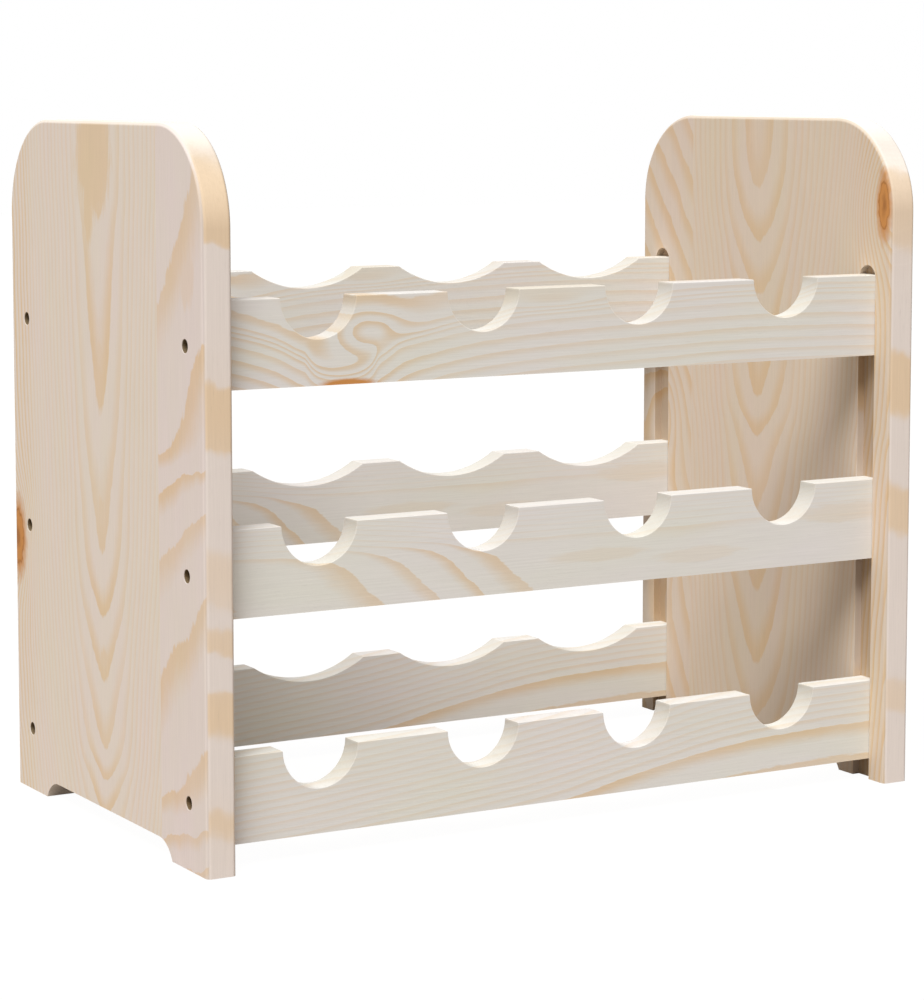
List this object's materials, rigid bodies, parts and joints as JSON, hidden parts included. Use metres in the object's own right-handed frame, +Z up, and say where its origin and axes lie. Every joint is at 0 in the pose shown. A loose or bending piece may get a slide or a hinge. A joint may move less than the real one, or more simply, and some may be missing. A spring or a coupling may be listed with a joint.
{
  "type": "wine rack",
  "caption": "Free-standing solid pine wine rack: rounded side panels joined by tiers of scalloped rails that cradle bottles lying down.",
  "frame": {"origin": "on the floor, under the middle of the rack", "axes": "+X along the rails from the left panel to the right one, +Y from front to rear (front is -Y), +Z up"},
  "size_m": [0.49, 0.28, 0.42],
  "materials": {
    "panel_pine": "planed and sanded pine, untreated",
    "rail_pine": "planed and sanded pine, untreated",
    "screw_steel": "zinc plated, satin"
  },
  "bodies": {
    "root": {"left_panel_narrow_board": "panel_pine", "left_panel_wide_board": "panel_pine", "right_panel_narrow_board": "panel_pine", "right_panel_wide_board": "panel_pine", "front_rail_lower": "rail_pine", "front_rail_middle": "rail_pine", "front_rail_upper": "rail_pine", "rear_rail_lower": "rail_pine", "rear_rail_middle": "rail_pine", "rear_rail_upper": "rail_pine", "screws_left_front": "screw_steel", "screws_left_rear": "screw_steel", "screws_right_front": "screw_steel", "screws_right_rear": "screw_steel"}
  },
  "joints": []
}
